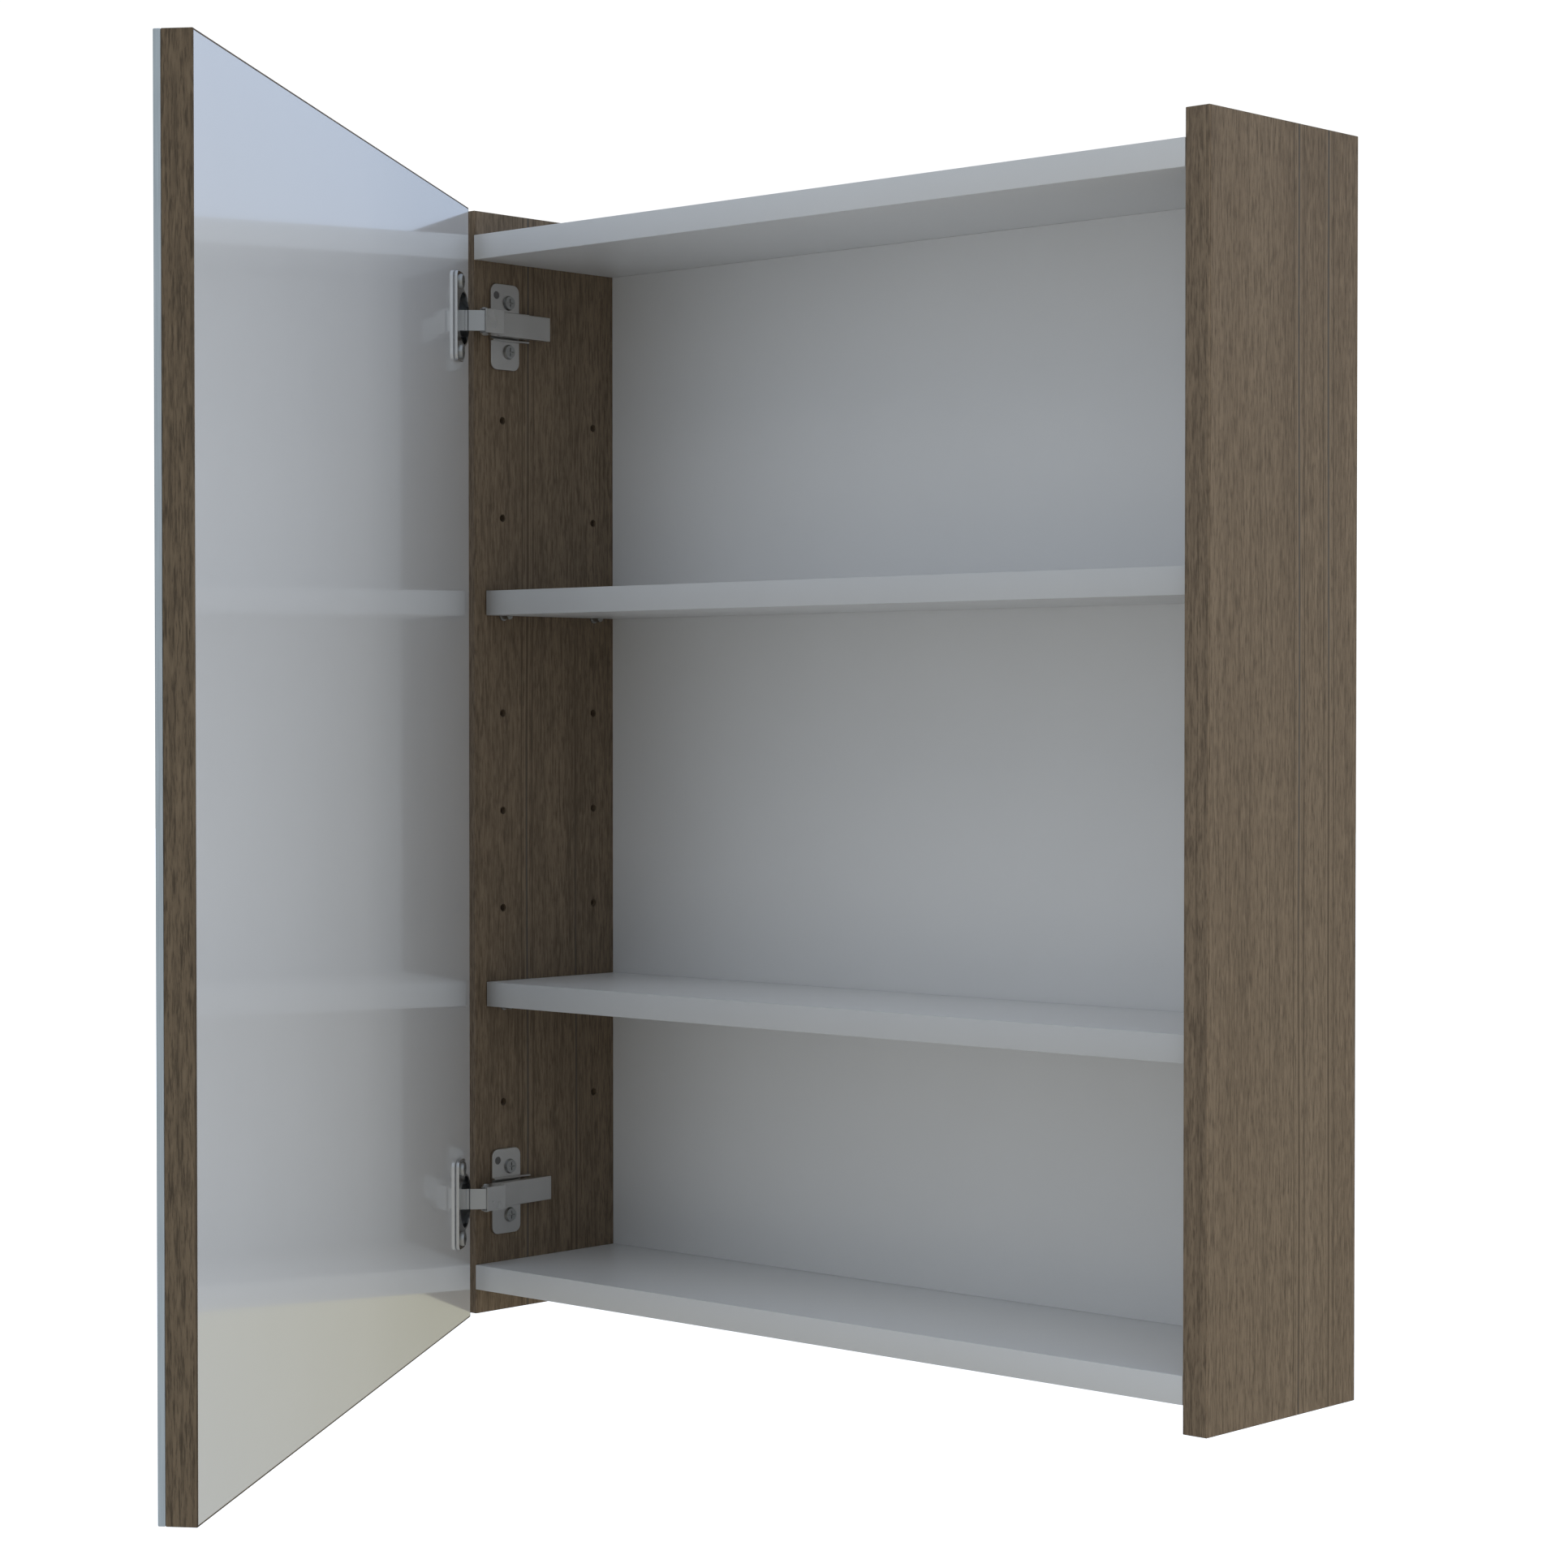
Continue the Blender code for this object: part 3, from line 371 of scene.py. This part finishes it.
def metal(name, colour, roughness):
    """Plated steel: the faintest cloudy dulling and hairline scratches."""
    made, tree, shader = new_material(name)
    place = object_place(tree)
    cloud = noise(tree, place, 45.0, 2.0, 0.5)
    scratch = noise(tree, scaled(tree, place, METAL_SCRATCHES), 1.0, 2.0)
    dull = tuple(channel * (1 - METAL_SMUDGE) for channel in colour)
    tone = ramp(tree, cloud, ((0.35, dull), (0.65, colour)))
    scratches = ramp(tree, scratch, ((0.60, grey(0.0)), (0.75, grey(0.5))))
    coloured(tree, shader, mixed(tree, scratches, tone, dull))
    roughened(tree, shader, cloud, (0.25, roughness * 0.92), (0.75, roughness * 1.08))
    shader.inputs["Metallic"].default_value = 1.0
    bumped(tree, shader, scratch, 0.000004, 0.2)
    return made


def particle_board(name):
    """Bare particle board: pale chips and dark specks."""
    made, tree, shader = new_material(name)
    cells = {"Vector": object_place(tree), "Scale": 420.0}
    chips = node(tree, "ShaderNodeTexVoronoi", inputs=cells).outputs["Color"]
    tone = node(tree, "ShaderNodeSeparateColor", inputs={"Color": chips}).outputs[0]
    speck, chip, pale_chip = (0.20, 0.13, 0.07), (0.42, 0.30, 0.18), (0.58, 0.44, 0.29)
    coloured(tree, shader, ramp(tree, tone, ((0.0, speck), (0.15, chip), (1.0, pale_chip))))
    shader.inputs["Roughness"].default_value = 0.85
    bumped(tree, shader, tone, 0.0002, 0.5)
    return made


def turned_beech(name):
    """Pale beech with fine flecks along the dowel."""
    made, tree, shader = new_material(name)
    grain = noise(tree, scaled(tree, object_place(tree), BEECH_GRAIN), 1.0, 3.0)
    coloured(tree, shader, ramp(tree, grain, ((0.3, (0.42, 0.27, 0.15)), (0.7, (0.60, 0.43, 0.26)))))
    shader.inputs["Roughness"].default_value = 0.65
    bumped(tree, shader, grain, 0.0001, 0.5)
    return made


def silvered(name):
    """The mirror's face, with the faintest dulling."""
    made, tree, shader = new_material(name)
    haze = noise(tree, object_place(tree), 14.0, 4.0)
    coloured(tree, shader, ramp(tree, haze, ((0.3, (0.86, 0.89, 0.90)), (0.7, (0.90, 0.92, 0.93)))))
    roughened(tree, shader, haze, (0.4, 0.004), (0.8, 0.02))
    shader.inputs["Metallic"].default_value = 1.0
    return made


def ground_edge(name):
    """The pane's ground rim: pale blue-green, satin, finely scored along its length."""
    made, tree, shader = new_material(name)
    score = noise(tree, scaled(tree, object_place(tree), GROUND_SCORES), 1.0, 3.0)
    coloured(tree, shader, ramp(tree, score, ((0.3, (0.36, 0.42, 0.465)), (0.7, (0.465, 0.535, 0.59)))))
    roughened(tree, shader, score, (0.3, 0.42), (0.7, 0.25))
    shader.inputs["Specular IOR Level"].default_value = 0.6
    bumped(tree, shader, score, 0.00003, 0.4)
    return made


# ---------------------------------------------------------------- pieces


def smooth(mesh):
    """Shades a mesh smooth but for its sharp edges."""
    if "sharp_edge" in mesh.attributes:
        mesh.attributes.remove(mesh.attributes["sharp_edge"])
    mesh.polygons.foreach_set("use_smooth", [True] * len(mesh.polygons))
    mesh.set_sharp_from_angle(angle=SMOOTH_ANGLE)
    mesh.update()


def rounding_share(edge, bevel):
    """How much of the bevel a sharp edge has room for, from the edges that stand off it; 0 if not sharp."""
    if len(edge.link_faces) != 2 or edge.calc_face_angle() < ROUNDED_ANGLE:
        return 0.0
    run = (edge.verts[1].co - edge.verts[0].co).normalized()
    rooms = [bevel / ROOM_SHARE]
    for vert in edge.verts:
        for other in vert.link_edges:
            way = (other.verts[1].co - other.verts[0].co).normalized()
            if other != edge and abs(way.dot(run)) < STANDS_OFF:
                rooms.append(other.calc_length())
    return max(LEAST_SHARE, min(rooms) * ROOM_SHARE / bevel)


def link_mesh(name, shape):
    """An object in the scene from a bmesh, which is freed."""
    mesh = bpy.data.meshes.new(name)
    shape.to_mesh(mesh)
    shape.free()
    piece = bpy.data.objects.new(name, mesh)
    bpy.context.scene.collection.objects.link(piece)
    return piece


def refined(node_name, body, material, bevel, segments=3, name=None, rim=None):
    """A cleaned copy of a CAD node with rounded edges, which stands for it; rim finishes those edges."""
    shape = bmesh.new()
    shape.from_mesh(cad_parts[node_name].data)
    bmesh.ops.remove_doubles(shape, verts=shape.verts, dist=MERGE_DISTANCE)
    bmesh.ops.dissolve_limit(shape, angle_limit=FLAT_ANGLE, verts=shape.verts, edges=shape.edges)
    for face in shape.faces:
        face.material_index = 0
    share = shape.edges.layers.float.new("bevel_weight_edge")
    for edge in shape.edges:
        edge[share] = rounding_share(edge, bevel)
    piece = link_mesh(name or f"{node_name}_look", shape)
    piece.data.materials.append(material)
    if rim:
        piece.data.materials.append(rim)
    rounding = piece.modifiers.new("rounding", "BEVEL")
    rounding.width = bevel
    rounding.segments = segments
    rounding.limit_method = "WEIGHT"
    rounding.material = 1 if rim else -1
    rounding.use_clamp_overlap = True
    smooth(piece.data)
    flats = piece.modifiers.new("flat_faces", "WEIGHTED_NORMAL")
    flats.keep_sharp = True
    flats.weight = FACE_AREA_WEIGHT
    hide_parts(node_name)
    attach(piece, body)
    return piece


def dress(node_name, material):
    """A CAD node keeps its shape and takes a material."""
    for material_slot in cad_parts[node_name].material_slots:
        material_slot.material = material


def edge_strip(node_name, body, material):
    """The thin band glued along a white board's front edge."""
    low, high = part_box(node_name)
    size = Vector((high.x - low.x, STRIP_THICKNESS * 2, high.z - low.z))
    middle = Vector(((low.x + high.x) / 2, low.y, (low.z + high.z) / 2))
    shape = bmesh.new()
    bmesh.ops.create_cube(shape, matrix=Matrix.Translation(middle) @ Matrix.Diagonal((*size, 1)))
    edges = shape.edges[:]
    bmesh.ops.bevel(shape, geom=edges, offset=STRIP_ROUNDING, segments=3, affect="EDGES", profile=0.5)
    piece = link_mesh(f"{node_name}_edge_strip", shape)
    piece.data.materials.append(material)
    smooth(piece.data)
    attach(piece, body)


def make_materials():
    """Every finish by name."""
    return {
        "left wood": wood("wood_left_side", SIDE_TONES, (3.1, 0.4, 1.7), 1.1),
        "right wood": wood("wood_right_side", SIDE_TONES),
        "band": wood("wood_front_band_painted_light", FRONT_BAND_PAINTED_LIGHT_TONES, (1.2, 5.3, 0.6), 1.0),
        "door band": wood("wood_door_band", DOOR_TONES, (7.7, 2.2, 0.2), 1.15, True),
        "white": film("white_melamine", (0.745, 0.755, 0.765), 0.34),
        # The strip films are darker than the white boards: painted shade on the front edges, deeper on the
        # shelves than on the panels.
        "shelf strip": film("shelf_edge_strip_painted_shade", (0.565, 0.578, 0.59), 0.42),
        "panel strip": film("panel_edge_strip_painted_shade", (0.66, 0.675, 0.69), 0.42),
        "gloss": film("gloss_white_film", (0.75, 0.765, 0.785), 0.12, 0.00002, 1.0),
        "raw": particle_board("bare_particle_board"),
        "beech": turned_beech("beech"),
        "nickel": metal("satin_nickel", (0.60, 0.585, 0.565), 0.30),
        "arm nickel": metal("satin_nickel_arm", (0.64, 0.625, 0.605), 0.28),
        "link nickel": metal("satin_nickel_link", (0.505, 0.515, 0.52), 0.42),
        # Dark nickel for rims, the cover's front end and the dimple floor: painted shade, not a finish of
        # the metal
        "dull": metal("painted_shade_nickel_rim", (0.20, 0.19, 0.185), 0.45),
        "bright": metal("polished_nickel", (0.66, 0.665, 0.67), 0.15),
        "zinc": metal("zinc_plating", (0.42, 0.42, 0.41), 0.36),
        "mirror": silvered("silvered_glass"),
        "glass edge": ground_edge("ground_glass_edge"),
    }


def carcass_pieces(finish):
    """The boards, bands, dowels and pins, and every screw and rivet."""
    for hand in ("left", "right"):
        dress(f"{hand}_side_panel", finish[f"{hand} wood"])
        dress(f"{hand}_front_edge_band", finish["band"])
    for name in ("bottom_panel", "top_panel", "back_panel", "upper_shelf", "lower_shelf"):
        dress(name, finish["white"])
    for name, body, look in STRIPPED_BOARDS:
        edge_strip(name, body, finish[look])
    for name in ("upper_hanging_rail", "lower_hanging_rail"):
        dress(name, finish["raw"])
    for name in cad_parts:
        if name.endswith("_dowel"):
            dress(name, finish["beech"])
        if name.endswith(("_pin", "_screw", "_rivet")):
            dress(name, finish["zinc"])


def door_pieces(finish):
    """The door board, its band and the mirror pane."""
    dress("door_panel", finish["gloss"])
    dress("door_edge_band", finish["door band"])
    pane = refined("mirror_glass", "door", finish["mirror"], 0.0005, 2, "mirror_pane")
    pane.data.materials.append(finish["glass edge"])
    broad = max(face.area for face in pane.data.polygons) * PANE_BROAD
    for face in pane.data.polygons:
        face.material_index = 0 if face.area > broad else 1


def paint_dimple_shade(plate, material):
    """The round dimple's floor in a mounting plate takes dark nickel: painted shade in the recess."""
    plate.data.materials.append(material)
    faces = [face for face in plate.data.polygons if face.normal.x > MOSTLY]
    top = max(faces, key=lambda face: face.area).center.x
    for face in faces:
        if DIMPLE_LEAST < top - face.center.x < DIMPLE_MOST:
            face.material_index = len(plate.data.materials) - 1


def thicken_flange(cup):
    """The flange stands a little prouder of the door than its CAD sheet; the rim near the hinge stays."""
    inward = Vector((math.sin(DOOR_OPEN), math.cos(DOOR_OPEN), 0))
    along = Vector((math.cos(DOOR_OPEN), -math.sin(DOOR_OPEN), 0))
    top = max(vert.co.dot(inward) for vert in cup.data.vertices)
    far = max(vert.co.dot(along) for vert in cup.data.vertices)
    for vert in cup.data.vertices:
        if vert.co.dot(inward) > top - FLANGE_UPPER and vert.co.dot(along) > far - FLANGE_REACH:
            vert.co += inward * FLANGE_RAISE


def paint_cover_front_shade(cover):
    """The arm cover's front end faces, beside the arm's raised front, take its rim's dark nickel: a painted
    shadow line at the step.
    """
    for face in cover.data.polygons:
        if face.normal.y < -MOSTLY:
            face.material_index = 1


def hinge_pieces(finish):
    """Plates, arms, covers, links, cups, wires and coils."""
    for side in HINGES:
        for part, body, bevel, look, rim in HINGE_LOOKS:
            piece = refined(f"{side}_{part}", body, finish[look], bevel, rim=finish[rim])
            if part == "mounting_plate":
                paint_dimple_shade(piece, finish["dull"])
            if part == "arm_cover":
                paint_cover_front_shade(piece)
            if part == "hinge_cup":
                thicken_flange(piece)
        for part in ("cup_wire", "closing_spring"):
            dress(f"{side}_{part}", finish["zinc"])


# ---------------------------------------------------------------- stage


def make_camera():
    """The camera in front of the cabinet's right, a little below its middle, looking almost level."""
    data = bpy.data.cameras.new("camera")
    data.lens = CAMERA_LENS
    data.sensor_width = SENSOR_WIDTH
    data.clip_end = CAMERA_REACH
    camera = bpy.data.objects.new("camera", data)
    camera.location = CAMERA_PLACE
    camera.rotation_euler = Euler((math.pi / 2 + CAMERA_DIP, 0, CAMERA_TURN))
    bpy.context.scene.collection.objects.link(camera)
    bpy.context.scene.camera = camera


def make_floor():
    """A plain pale floor well below the hung cabinet."""
    shape = bmesh.new()
    bmesh.ops.create_grid(shape, x_segments=1, y_segments=1, size=FLOOR_REACH)
    floor = link_mesh("floor", shape)
    made, _, shader = new_material("pale_floor")
    shader.inputs["Base Color"].default_value = (0.9, 0.9, 0.9, 1.0)
    shader.inputs["Roughness"].default_value = 0.9
    shader.inputs["Emission Color"].default_value = (1.0, 1.0, 1.0, 1.0)
    shader.inputs["Emission Strength"].default_value = 0.75
    floor.data.materials.append(made)
    floor.location.z = cad_low.z - FLOOR_DROP
    floor.visible_diffuse = False
    floor.visible_glossy = False


def make_world():
    """White as a background; soft light, cool from above and warm from below, most so behind the wall."""
    world = bpy.data.worlds.new("studio")
    world.use_nodes = True
    bpy.context.scene.world = world
    tree = world.node_tree
    tree.nodes.clear()
    way = node(tree, "ShaderNodeTexCoord").outputs["Generated"]
    _, depth, height = node(tree, "ShaderNodeSeparateXYZ", inputs={"Vector": way}).outputs
    lifted = maths(tree, "ADD", maths(tree, "MULTIPLY", height, 0.5), 0.5)
    front = ramp(tree, lifted, FRONT_LIGHT)
    behind = ramp(tree, lifted, BEHIND_LIGHT)
    is_behind = ramp(tree, depth, ((BEHIND_FROM, grey(0.0)), (BEHIND_FULLY, grey(1.0))))
    light = mixed(tree, is_behind, front, behind)
    soft = node(tree, "ShaderNodeBackground", inputs={"Color": light, "Strength": LIGHT_STRENGTH})
    backdrop = {"Color": (1.0, 1.0, 1.0, 1.0), "Strength": BACKDROP_STRENGTH}
    white = node(tree, "ShaderNodeBackground", inputs=backdrop)
    seen = node(tree, "ShaderNodeLightPath").outputs["Is Camera Ray"]
    both = node(tree, "ShaderNodeMixShader", inputs={0: seen, 1: soft.outputs[0], 2: white.outputs[0]})
    out = node(tree, "ShaderNodeOutputWorld")
    tree.links.new(both.outputs[0], out.inputs["Surface"])


def softbox(name, place, aim, size, energy, colour):
    """A square area light aimed at a point."""
    data = bpy.data.lights.new(name, "AREA")
    data.size = size
    data.energy = energy
    data.color = colour
    lamp = bpy.data.objects.new(name, data)
    lamp.location = place
    lamp.rotation_euler = (Vector(aim) - Vector(place)).to_track_quat("-Z", "Y").to_euler()
    lamp.visible_camera = False
    lamp.visible_glossy = False
    bpy.context.scene.collection.objects.link(lamp)


def make_lights():
    """Soft boxes: low in front, at the right side, above the front, and a weak one aimed into the left."""
    middle = (cad_low + cad_high) / 2
    softbox("key", (1.2, -2.6, -2.0), middle, 2.2, 8.5, (1.0, 0.98, 0.94))
    softbox("side", (3.2, 0.3, -0.5), middle, 2.2, 35.0, (1.0, 0.98, 0.96))
    softbox("top", (0.3, -1.9, 2.4), middle, 2.0, 12.5, (1.0, 0.97, 0.92))
    softbox("fill", (0.8, -2.4, -0.9), (-0.2, 0.0, -0.4), 1.2, 1.1, (0.96, 0.98, 1.0))


bpy.context.scene.view_settings.view_transform = "Standard"
finishes = make_materials()
carcass_pieces(finishes)
door_pieces(finishes)
hinge_pieces(finishes)
make_camera()
make_floor()
make_world()
make_lights()
